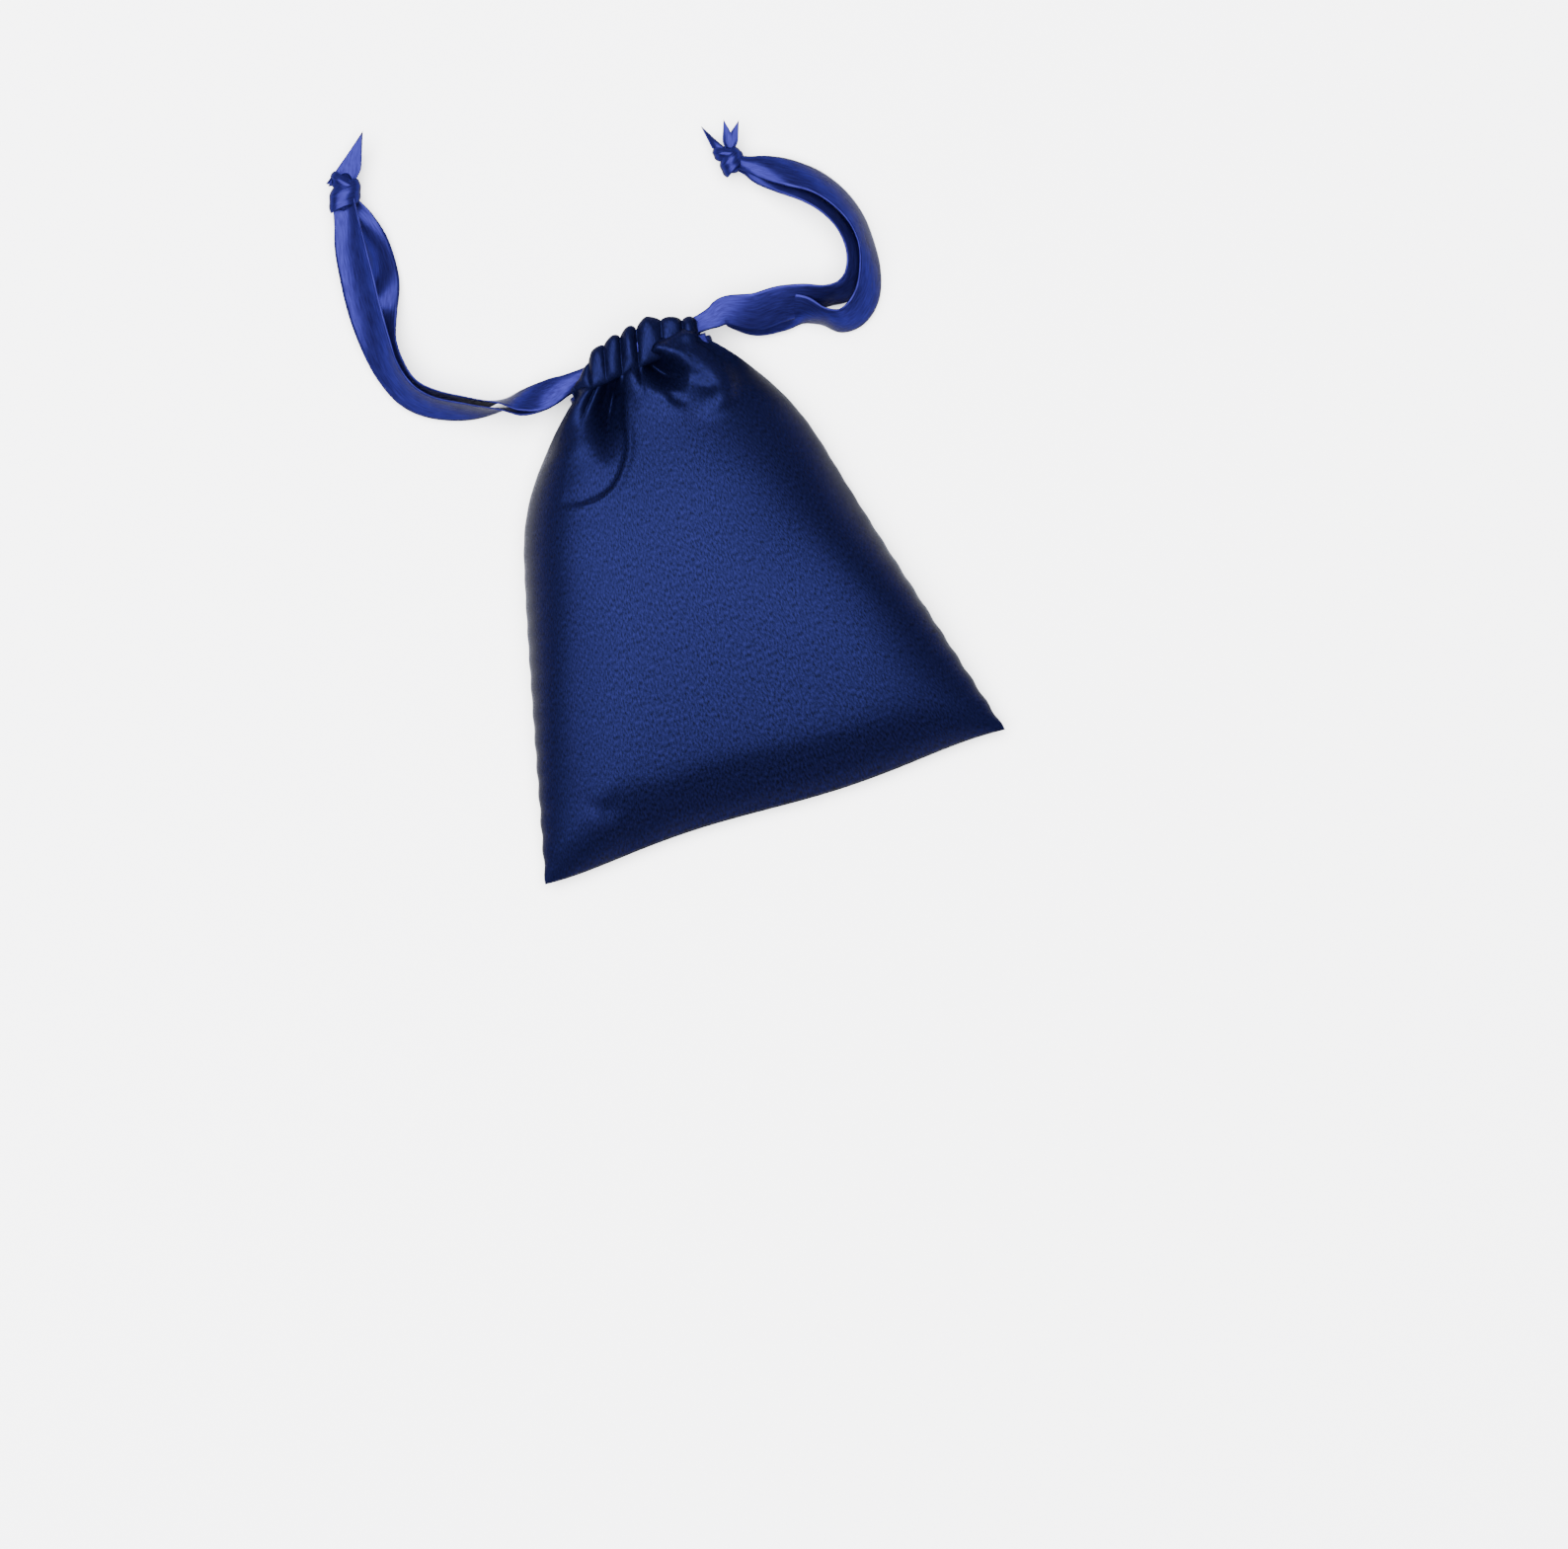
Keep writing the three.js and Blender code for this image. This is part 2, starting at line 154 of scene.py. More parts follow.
# From the middle of the slit: x, y, height of the ribbon's middle, roll in degrees, share of the
# width that is open, and how deeply the ribbon is cupped. A positive roll tips up the left edge.
LEFT_FRONT = [
    (-0.0116, 0.0000, 0.0071, 50, 0.86, 0.0006),
    (-0.0160, 0.0012, 0.0060, 80, 0.95, 0.0005),
    (-0.0235, 0.0030, 0.0050, 108, 1, 0.0005),
    (-0.0309, 0.0066, 0.0048, 119, 1, 0.0005),
    (-0.0356, 0.0108, 0.0046, 126, 1, 0.0004),
    (-0.0380, 0.0169, 0.0042, 136, 1, 0.0004),
    (-0.0384, 0.0241, 0.0036, 152, 0.93, 0.0006),
    (-0.0362, 0.0311, 0.0032, 182, 0.84, 0.0009),
    (-0.0330, 0.0383, 0.0033, 220, 0.86, 0.0009),
    (-0.0324, 0.0455, 0.0036, 222, 0.80, 0.0009),
    (-0.0336, 0.0519, 0.0033, 202, 0.63, 0.0009),
    (-0.0352, 0.0560, 0.0031, 186, 0.55, 0.0009),
    (-0.0350, 0.0590, 0.0033, 184, 0.46, 0.0009),
]
LEFT_BACK = [
    (-0.0118, -0.0014, 0.0057, 54, 0.84, 0.0006),
    (-0.0162, -0.0006, 0.0054, 84, 0.95, 0.0005),
    (-0.0240, 0.0015, 0.0054, 108, 1, 0.0005),
    (-0.0318, 0.0052, 0.0053, 118, 1, 0.0005),
    (-0.0366, 0.0100, 0.0052, 125, 1, 0.0005),
    (-0.0390, 0.0167, 0.0051, 131, 1, 0.0006),
    (-0.0396, 0.0241, 0.0050, 142, 1, 0.0007),
    (-0.0395, 0.0319, 0.0052, 149, 1, 0.0008),
    (-0.0388, 0.0395, 0.0055, 149, 1, 0.0009),
    (-0.0380, 0.0465, 0.0058, 152, 0.91, 0.0009),
    (-0.0370, 0.0521, 0.0056, 162, 0.69, 0.0009),
    (-0.0363, 0.0563, 0.0052, 172, 0.57, 0.0009),
    (-0.0356, 0.0592, 0.0048, 176, 0.46, 0.0009),
]
RIGHT_FRONT = [
    (0.0131, -0.0016, 0.0072, 30, 1, 0.0003),
    (0.0191, -0.0018, 0.0070, 32, 1, 0.0004),
    (0.0247, -0.0026, 0.0064, 44, 1, 0.0006),
    (0.0301, -0.0035, 0.0062, 64, 1, 0.0006),
    (0.0349, -0.0035, 0.0061, 60, 1, 0.0005),
    (0.0389, -0.0008, 0.0059, 52, 1, 0.0005),
    (0.0409, 0.0047, 0.0056, 52, 1, 0.0005),
    (0.0401, 0.0111, 0.0052, 58, 1, 0.0005),
    (0.0377, 0.0171, 0.0049, 54, 1, 0.0006),
    (0.0337, 0.0223, 0.0044, 46, 0.95, 0.0007),
    (0.0289, 0.0263, 0.0036, 32, 0.78, 0.0009),
    (0.0247, 0.0295, 0.0030, 12, 0.57, 0.0009),
    (0.0226, 0.0315, 0.0029, 4, 0.40, 0.0009),
    (0.0203, 0.0335, 0.0031, 2, 0.32, 0.0009),
]
RIGHT_BACK = [
    (0.0129, -0.0026, 0.0046, 30, 1, 0.0004),
    (0.0185, -0.0036, 0.0046, 32, 1, 0.0005),
    (0.0235, -0.0046, 0.0050, 50, 1, 0.0008),
    (0.0277, -0.0077, 0.0050, 70, 1, 0.0009),
    (0.0317, -0.0100, 0.0050, 60, 1, 0.0006),
    (0.0359, -0.0092, 0.0050, 52, 1, 0.0005),
    (0.0397, -0.0058, 0.0050, 52, 1, 0.0005),
    (0.0422, -0.0003, 0.0050, 58, 1, 0.0005),
    (0.0433, 0.0059, 0.0050, 65, 1, 0.0005),
    (0.0428, 0.0121, 0.0051, 62, 1, 0.0006),
    (0.0405, 0.0179, 0.0052, 56, 1, 0.0006),
    (0.0367, 0.0231, 0.0053, 50, 1, 0.0007),
    (0.0317, 0.0269, 0.0055, 38, 0.91, 0.0008),
    (0.0267, 0.0298, 0.0055, 22, 0.69, 0.0009),
    (0.0227, 0.0320, 0.0054, 6, 0.40, 0.0009),
    (0.0204, 0.0337, 0.0046, 2, 0.32, 0.0009),
]


def through(points, steps):
    """A smooth line through rows of numbers, with that many steps between two rows."""
    rows = np.array(points, dtype=float)
    rows = np.vstack([2 * rows[0] - rows[1], rows, 2 * rows[-1] - rows[-2]])
    t = np.linspace(0, 1, steps, endpoint=False)[:, None]
    line = []
    for a, b, c, d in zip(rows, rows[1:], rows[2:], rows[3:]):
        bent = (2 * a - 5 * b + 4 * c - d) * t**2 + (3 * b - a - 3 * c + d) * t**3
        line.append(b + 0.5 * ((c - a) * t + bent))
    return np.vstack(line + [rows[-2:-1]])


def smooth(value, start, end):
    t = np.clip((value - start) / (end - start), 0, 1)
    return t * t * (3 - 2 * t)


def new_grid(name, across, along):
    """A grid of faces, and each corner's place on it: x across and y along, both from 0 to 1."""
    bpy.ops.object.select_all(action="DESELECT")
    bpy.ops.mesh.primitive_grid_add(x_subdivisions=across, y_subdivisions=along, size=1)
    piece = bpy.context.object
    piece.name = name
    piece.data.name = name
    corners = np.empty(3 * len(piece.data.vertices))
    piece.data.vertices.foreach_get("co", corners)
    places = corners.reshape(-1, 3)
    return piece, places[:, 0] + 0.5, places[:, 1] + 0.5


def move_corners(piece, corners):
    piece.data.vertices.foreach_set("co", np.asarray(corners, dtype=np.float32).ravel())
    piece.data.update()


def scale_uv(piece, width, length):
    """Makes the grid's own UV map count millimetres."""
    layer = piece.data.uv_layers.active.data
    flat = np.empty(2 * len(layer))
    layer.foreach_get("uv", flat)
    flat = flat.reshape(-1, 2) * (width * 1000, length * 1000)
    layer.foreach_set("uv", flat.ravel())


def apply_modifier(piece, kind, **settings):
    bpy.context.view_layer.objects.active = piece
    modifier = piece.modifiers.new(kind, kind)
    for name, value in settings.items():
        setattr(modifier, name, value)
    bpy.ops.object.modifier_apply(modifier=modifier.name)


def shade_smooth(piece):
    bpy.ops.object.select_all(action="DESELECT")
    piece.select_set(True)
    bpy.context.view_layer.objects.active = piece
    bpy.ops.object.shade_smooth()


def lay_ribbon(name, rows, across=14, steps=9, fixed_wide=None):
    """A ribbon along rows of x, y, z, roll, open share and cupping, with its middle line and length.
    fixed_wide is its way across where it doesn't follow from the roll."""
    line = through(rows, steps)
    middle, roll, share, cup = line[:, :3], np.radians(line[:, 3]), line[:, 4], line[:, 5]
    heading = np.gradient(middle, axis=0)
    heading /= np.linalg.norm(heading, axis=1)[:, None]
    up = np.array((0, 0, 1.0))
    wide = np.cross(up, heading)
    wide /= np.maximum(np.linalg.norm(wide, axis=1), 1e-6)[:, None]
    wide = wide * np.cos(roll)[:, None] + up * np.sin(roll)[:, None]
    if fixed_wide is not None:
        wide = np.broadcast_to(np.array(fixed_wide, dtype=float), wide.shape)
    face = np.cross(heading, wide)
    face /= np.linalg.norm(face, axis=1)[:, None]

    piece, s, t = new_grid(name, across, len(line) - 1)
    row = np.rint(t * (len(line) - 1)).astype(int)
    side = s - 0.5
    corners = middle[row] + wide[row] * (side * share[row] * RIBBON_WIDTH)[:, None]
    corners += face[row] * (cup[row] * (1 - (2 * side) ** 2 - 0.5))[:, None]
    move_corners(piece, corners)
    length = np.linalg.norm(np.diff(middle, axis=0), axis=1).sum()
    scale_uv(piece, RIBBON_WIDTH, length)
    apply_modifier(piece, "SOLIDIFY", thickness=RIBBON_THICK, offset=0)
    shade_smooth(piece)
    return piece, middle, length


def ribbon_satin():
    """Double-faced polyester satin ribbon, woven: long floats along its length give it a bright, smooth
    gloss."""
    material, tree = new_material("double_faced_satin_ribbon")
    place = add_node(tree, "ShaderNodeTexCoord").outputs["UV"]
    floats = add_node(tree, "ShaderNodeMapping", {"Vector": place, "Scale": (2.6, 0.35, 1)})
    threads = add_node(
        tree, "ShaderNodeTexNoise", {"Vector": floats.outputs["Vector"], "Scale": 1.0, "Detail": 3.0}
    )
    tone = add_node(tree, "ShaderNodeValToRGB", {"Fac": threads.outputs["Fac"]})
    tone.color_ramp.elements[0].position = 0.3
    tone.color_ramp.elements[0].color = linear(0x100E32)
    tone.color_ramp.elements[1].position = 0.75
    tone.color_ramp.elements[1].color = linear(0x1B1A4E)
    bump = add_node(
        tree,
        "ShaderNodeBump",
        {"Height": threads.outputs["Fac"], "Strength": 0.25, "Distance": 0.00006},
    )
    shader = add_node(
        tree,
        "ShaderNodeBsdfPrincipled",
        {
            "Base Color": tone.outputs["Color"],
            "Metallic": 0.68,
            "Specular IOR Level": 0.05,
            "Roughness": 0.34,
            "Specular Tint": linear(0x404880),
            "Normal": bump.outputs["Normal"],
        },
    )
    return finish_material(material, shader)


RIBBON_SATIN = ribbon_satin()


def out_of_slit(side, height):
    """The straight stretch from inside a slit, where the ribbon is folded, to where it has opened."""
    rows = []
    outs = (-SLIT_IN, -SLIT_IN / 2, 0.0003, SLIT_OUT / 2, SLIT_OUT)
    # The right ribbon opens later, so that it can be drawn in past the turn of the left one.
    openings = (0, 0, 0.25, 0.7, 1) if side < 0 else (0, 0, 0.05, 0.25, 0.62)
    open_share, roll = (0.80, 26) if side < 0 else (0.98, 30)
    for out, opened in zip(outs, openings):
        reach = side * out
        x, y = reach * math.cos(MOUTH_TILT), reach * math.sin(MOUTH_TILT)
        share = FOLDED_SHARE + (open_share - FOLDED_SHARE) * opened
        # The right front strand hangs a little lower in its slit, under the casing.
        sag = 0.0005 * (1 - opened) if side > 0 and height > BACK_STRAND else 0
        rows.append((x, y, height - sag, roll * opened, share, 0.0006 if side < 0 else 0.0002))
    return rows


for name, side, slit, height, rows in (
    ("left_ribbon_front_strand", -1, LEFT_SLIT, FRONT_STRAND, LEFT_FRONT),
    ("left_ribbon_back_strand", -1, LEFT_SLIT, BACK_STRAND, LEFT_BACK),
    ("right_ribbon_front_strand", 1, RIGHT_SLIT, FRONT_STRAND, RIGHT_FRONT),
    ("right_ribbon_back_strand", 1, RIGHT_SLIT, BACK_STRAND, RIGHT_BACK),
):
    placed = np.array(out_of_slit(side, height) + rows)
    placed[:, :3] += slit
    strand, middle, length = lay_ribbon(name + "_satin", placed)
    strand.data.materials.append(RIBBON_SATIN)
    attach(strand, "left_drawstring" if side < 0 else "right_drawstring")
    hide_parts(name)

# ---- Knots and cut tails ----------------------------------------------------------------------------
# Each ribbon's two ends are tied together in one overhand knot: a belt of ribbon wrapped round the
# strands, a second turn crossing it, and the ends cut off beyond it, at a slant or in a swallowtail.


def join_pieces(name, parts):
    bpy.ops.object.select_all(action="DESELECT")
    for part in parts:
        part.select_set(True)
    bpy.context.view_layer.objects.active = parts[0]
    bpy.ops.object.join()
    parts[0].name = name
    parts[0].data.name = name
    return parts[0]


def wrapped_band(centre, out, half_across, half_up, width, tilt, slide, cup):
    """A closed turn of ribbon round a knot. out is the way from the strands to the tails, tilt
    leans the turn towards the tails on the right, and slide shifts it that way."""
    right = np.array((out[1], -out[0], 0))
    piece, s, t = new_grid("turn", 14, 64)
    angle = 2 * np.pi * t
    around_x, around_z = np.cos(angle), np.sin(angle)
    swell = cup * (1 - (2 * s - 1) ** 2)
    across = (half_across + swell) * around_x
    up = (half_up + swell) * around_z
    pinch = 0.82 + 0.18 * around_z + 0.06 * np.sin(3 * angle)
    along = slide + tilt * around_x + (s - 0.5) * width * pinch
    crease = 0.00012 * np.sin(np.pi * (3 * s + 0.8 * np.sin(angle)))
    corners = centre + right * (across + crease * around_x)[:, None] + out * along[:, None]
    corners[:, 2] += up + crease * around_z
    move_corners(piece, corners)
    scale_uv(piece, RIBBON_WIDTH, 0.022)
    bpy.context.view_layer.objects.active = piece
    bpy.ops.object.mode_set(mode="EDIT")
    bpy.ops.mesh.select_all(action="SELECT")
    bpy.ops.mesh.remove_doubles(threshold=0.00001)
    bpy.ops.mesh.normals_make_consistent(inside=False)
    bpy.ops.object.mode_set(mode="OBJECT")
    apply_modifier(piece, "SOLIDIFY", thickness=RIBBON_THICK, offset=0)
    shade_smooth(piece)
    return piece


def knot_core(centre, out, half_long, half_across, half_up):
    """The strands inside the knot, squeezed into soft lengthwise folds."""
    bpy.ops.object.select_all(action="DESELECT")
    bpy.ops.mesh.primitive_uv_sphere_add(segments=48, ring_count=24, radius=1)
    piece = bpy.context.object
    ball = np.empty(3 * len(piece.data.vertices))
    piece.data.vertices.foreach_get("co", ball)
    ball = ball.reshape(-1, 3)
    round_axis = np.arctan2(ball[:, 1], ball[:, 0])
    folds = 1 + 0.07 * np.sin(5 * round_axis + 2 * ball[:, 2]) * (1 - ball[:, 2] ** 2)
    right = np.array((out[1], -out[0], 0))
    corners = centre + right * (half_across * folds * ball[:, 0])[:, None]
    corners += out * (half_long * ball[:, 2])[:, None]
    corners[:, 2] += half_up * folds * ball[:, 1]
    move_corners(piece, corners)
    scale_uv(piece, 0.020, 0.010)
    shade_smooth(piece)
    return piece


def cut_tail(name, start, out, width, length, curl, side_cut, notch):
    """A ribbon's cut end. side_cut slants the cut, so that the right side (1) or the left side (-1)
    is the longer, and notch cuts a swallowtail into it."""
    out = np.array((*out, 0.0)) / np.linalg.norm(out)
    right = np.array((out[1], -out[0], 0))
    piece, s, t = new_grid(name, 16, 24)
    side = 2 * s - 1
    reach = length * (1 - notch * (1 - np.abs(side)) - 0.5 * np.abs(side_cut) * (1 - side_cut * side))
    across = side * width / 2 * (0.62 + 0.38 * smooth(t, 0, 0.35))
    corners = np.array(start) + out * (reach * t)[:, None] + right * across[:, None]
    corners[:, 2] += curl * t * t - 0.0006 * (1 - side**2) * (1 - 0.4 * t)
    move_corners(piece, corners)
    scale_uv(piece, RIBBON_WIDTH, length)
    apply_modifier(piece, "SOLIDIFY", thickness=RIBBON_THICK, offset=0)
    shade_smooth(piece)
    piece.data.materials.append(RIBBON_SATIN)
    return piece


def tie_knot(name, centre, out, turns, core):
    centre = np.array(centre)
    out = np.array((*out, 0.0)) / np.linalg.norm(out)
    parts = [knot_core(centre, out, *core)]
    parts += [wrapped_band(centre, out, *turn) for turn in turns]
    knot = join_pieces(name, parts)
    knot.data.materials.append(RIBBON_SATIN)
    return knot


# Half across, half up, width, tilt, slide and cupping of each turn.
left_knot = tie_knot(
    "left_knot_satin", (-0.0498, 0.1084, 0.0034), (0.36, 0.93),
    [(0.0030, 0.0027, 0.0062, 0.0013, -0.0006, 0.0006), (0.0029, 0.0023, 0.0038, -0.0014, 0.0020, 0.0006)],
    (0.0052, 0.0027, 0.0026),
)
right_knot = tie_knot(
    "right_knot_satin", (0.0386, 0.0870, 0.0034), (-0.10, 1.0),
    [(0.0023, 0.0026, 0.0046, 0.0009, -0.0005, 0.0006), (0.0026, 0.0022, 0.0034, -0.0013, 0.0012, 0.0006)],
    (0.0032, 0.0024, 0.0026),
)
left_tails = [
    cut_tail("left_tail_front_satin", (-0.0494, 0.1104, 0.0046), (0.36, 0.93),
             width=0.0080, length=0.0128, curl=0.0002, side_cut=1, notch=0),
    cut_tail("left_tail_back_satin", (-0.0498, 0.1106, 0.0030), (0.30, 0.95),
             width=0.0066, length=0.0076, curl=-0.0012, side_cut=1, notch=0),
]
right_tails = [
    cut_tail("right_tail_front_satin", (0.0392, 0.0893, 0.0044), (0.36, 0.93),
             width=0.0036, length=0.0070, curl=0.0006, side_cut=0, notch=0.42),
    cut_tail("right_tail_back_satin", (0.0372, 0.0893, 0.0032), (-0.14, 0.99),
             width=0.0030, length=0.0078, curl=-0.0006, side_cut=-1, notch=0),
]
for knot, tails, side in ((left_knot, left_tails, "left"), (right_knot, right_tails, "right")):
    for piece, node in zip([knot] + tails, ["knot", "tail_front", "tail_back"]):
        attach(piece, side + "_drawstring")
        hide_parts(side + "_" + node)

# ---- Front panel ----------------------------------------------------------------------------------
# Satin cloth, sewn to the back panel down both sides and along the bottom, puffed up by the air in
# the pouch, and gathered at the mouth, where deep hollows and soft pleats run down from the stitches.

BOTTOM_WIDTH = 0.114
BODY_LENGTH = 0.107
SHOULDER_WIDTH = 0.076
SHOULDER_AT = 0.074
PUFF = 0.022
FULLEST_AT = 0.070
SEAM_LEVEL = 0.0038
MOUTH_WIDTH = 0.034
MOUTH_SHIFT = 0.003
NECK_LEVEL = 0.0138  # front casing's mid-height at the middle of the mouth
CLOTH_LEVEL = 0.0159  # the cloth there, where it runs on over the casing
NECK_ARCH = 0.003  # and how much lower it is at the two slits
BOTTOM_SEAM_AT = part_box("back_panel")[0][1]
CLOTH_THICK = 0.0003
PUCKER_PITCH = 0.0062
STEEP_SHARE = 0.36  # of the height, gained in a short steep rise from the bottom seam
STEEP_LONG = 0.0042
STITCHED_OVER = 0.0014  # the panel runs on this far over its casing
FLOP = 0.0028  # and this much further where a fold of it flops back over the stitches
FLOP_RISE = 0.0012  # how full that fold is
EDGE_TUCK = 0.0012  # how far the panel's edge tucks in past the stitches
PLEAT_DEPTH = 0.0021  # of the clefts between the pleats, at the stitch line
LEAN = 0.37  # how far a gather leans to the right on its way up

# Where one gather meets the next along the mouth, from its middle.
GATHERS = (-0.0170, -0.0103, -0.0053, -0.0009, 0.0034, 0.0092, 0.0137, 0.0170)


def mix(a, b, share):
    return a + (b - a) * share


# How far the crest stands from the stitch line, along the mouth.
CREST = [
    (-0.0170, 0.0030), (-0.0140, 0.0038), (-0.0115, 0.0062), (-0.0088, 0.0084), (-0.0033, 0.0095),
    (0.0009, 0.0099), (0.0061, 0.0103), (0.0086, 0.0093), (0.0113, 0.0080), (0.0163, 0.0060),
    (0.0170, 0.0058),
]


def crest_at(across):
    return np.interp(across, *np.array(CREST).T)


def leant_back(across, up):
    """Where the gather through a point meets the crest: gathers lean to the right on their way up."""
    return across + LEAN * (crest_at(across) - up) * smooth(across, -0.017, -0.008)


def run_on(across):
    """How far the panel runs on over its casing: furthest right of the middle."""
    return STITCHED_OVER + FLOP * smooth(across, 0.0020, 0.0060) * (1 - smooth(across, 0.0125, 0.0168))


def half_width(y):
    """Half the pouch's width at a distance from the bottom seam."""
    bottom, shoulder, mouth = BOTTOM_WIDTH / 2, SHOULDER_WIDTH / 2, MOUTH_WIDTH / 2
    taper = (bottom - shoulder) / SHOULDER_AT
    straight = taper * (BODY_LENGTH - SHOULDER_AT) / (shoulder - mouth)
    t = np.clip((y - SHOULDER_AT) / (BODY_LENGTH - SHOULDER_AT), 0, 1)
    drawn_in = mix(shoulder, mouth, straight * t + (1 - straight) * t**2.4)
    return np.where(y <= SHOULDER_AT, mix(bottom, shoulder, y / SHOULDER_AT), drawn_in)


def on_outline(s, y):
    """The x and y of a point: s runs from -1 at the left seam to 1 at the right one."""
    t = np.minimum(y / BODY_LENGTH, 1)
    reach = s * half_width(y)
    # The sewn edges pucker a little, and the bottom seam isn't quite straight.
    pucker = 0.00018 * np.sin(y / PUCKER_PITCH * 2 * np.pi) * np.abs(s) ** 10 * (1 - t)
    reach = reach + np.sign(s) * pucker
    bow = 0.0009 * np.sin(2 * np.pi * (0.7 * s + 0.02)) * (1 - smooth(y, 0, 0.03)) * (1 - s**6)
    turn = MOUTH_TILT * t**4
    middle = MOUTH_SHIFT * t**6
    return middle + reach * np.cos(turn), BOTTOM_SEAM_AT + y - bow + reach * np.sin(turn)


def crown(y):
    """Height of the front panel's ridge."""
    # Steep at the bottom seam, then a long gentle slope.
    slope = np.sin(np.pi / 2 * np.clip(y / FULLEST_AT, 0, 1))
    rising = mix(SEAM_LEVEL, PUFF, STEEP_SHARE * (1 - np.exp(-y / STEEP_LONG)) + (1 - STEEP_SHARE) * slope)
    falling = mix(PUFF, CLOTH_LEVEL, smooth(y, FULLEST_AT, BODY_LENGTH))
    return np.where(y < FULLEST_AT, rising, falling)


def gather(across):
    """1 on the middle of each gather along the mouth, and 0 in the clefts between them."""
    edges = np.array(GATHERS)
    i = np.clip(np.searchsorted(edges, across) - 1, 0, len(edges) - 2)
    t = np.clip((across - edges[i]) / (edges[i + 1] - edges[i]), 0, 1)
    return np.sin(np.pi * t) ** 0.6


def beside(points, x, y):
    """Distance to a line, signed so that the left of its way is positive, and the share along it."""
    line = through(points, 8)
    start, way = line[:-1], np.diff(line, axis=0)
    square = (way**2).sum(axis=1)
    off_x, off_y = x[:, None] - start[:, 0], y[:, None] - start[:, 1]
    t = np.clip((off_x * way[:, 0] + off_y * way[:, 1]) / square, 0, 1)
    gap = np.hypot(off_x - t * way[:, 0], off_y - t * way[:, 1])
    near = gap.argmin(axis=1)
    each = np.arange(len(x))
    turn = way[near, 0] * off_y[each, near] - way[near, 1] * off_x[each, near]
    share = (near + t[each, near]) / len(way)
    return np.where(turn >= 0, 1, -1) * gap[each, near], share


# Soft ridges and hollows, from the stitch line outwards: the line, half its width, its height, the
# share along it where it begins and ends to fade, and how blunt its section is (2 is round).
HOLLOWS = [
    # left of the middle gather, steep and deep
    ([(-0.0026, 0.0471), (-0.0047, 0.0441), (-0.0065, 0.0410), (-0.0080, 0.0378), (-0.0096, 0.0330),
      (-0.0119, 0.0263)], 0.0030, -0.0092, 0.5, 1.0, 1.4),
    # right of it, curling away to the right
    ([(0.0046, 0.0484), (0.0056, 0.0470), (0.0076, 0.0441), (0.0105, 0.0419), (0.0137, 0.0405)],
     0.0025, -0.0080, 0.5, 1.0, 1.7),
    # the rounded ridge that closes the left hollow
    ([(-0.0028, 0.0485), (-0.0060, 0.0467), (-0.0109, 0.0432), (-0.0146, 0.0405), (-0.0175, 0.0370),
      (-0.0200, 0.0325), (-0.0215, 0.0280)], 0.0042, 0.0018, 0.5, 1.0, 2),
    # the ridge between the two hollows
    ([(-0.0014, 0.0468), (0.0011, 0.0444), (0.0039, 0.0410), (0.0063, 0.0386), (0.0086, 0.0362),
      (0.0117, 0.0344)], 0.0030, 0.0014, 0.5, 1.0, 2),
    # the rounded rim that curls round the right hollow
    ([(0.0050, 0.0512), (0.0084, 0.0489), (0.0128, 0.0458), (0.0167, 0.0429), (0.0194, 0.0397),
      (0.0201, 0.0365), (0.0184, 0.0341), (0.0145, 0.0338), (0.0107, 0.0352)],
     0.0030, 0.0021, 0.7, 1.0, 2.5),
    # the short crease beside it
    ([(0.0069, 0.0392), (0.0082, 0.0372), (0.0101, 0.0357), (0.0121, 0.0355)],
     0.0013, -0.0009, 0.3, 1.0, 2),
    # a soft dent above the bottom-left corner
    ([(-0.0407, -0.0460), (-0.0333, -0.0515), (-0.0258, -0.0580)], 0.0048, -0.0011, 0.5, 1.0, 2),
]
# Sharper folds, with one side lower than the other: the line, the low side, the drop, how far it
# spreads, the rim's rise and half width, and the share along it where it begins to fade.
CREASES = [
    # the hook-shaped fold round the left hollow, low on its right-hand side going down
    ([(-0.0016, 0.0485), (-0.0024, 0.0432), (-0.0036, 0.0380), (-0.0047, 0.0323), (-0.0058, 0.0287),
      (-0.0078, 0.0254), (-0.0109, 0.0220), (-0.0148, 0.0201), (-0.0193, 0.0198), (-0.0238, 0.0207),
      (-0.0258, 0.0218)], -1, 0.0018, 0.0034, 0.0008, 0.0014, 0.62),
]


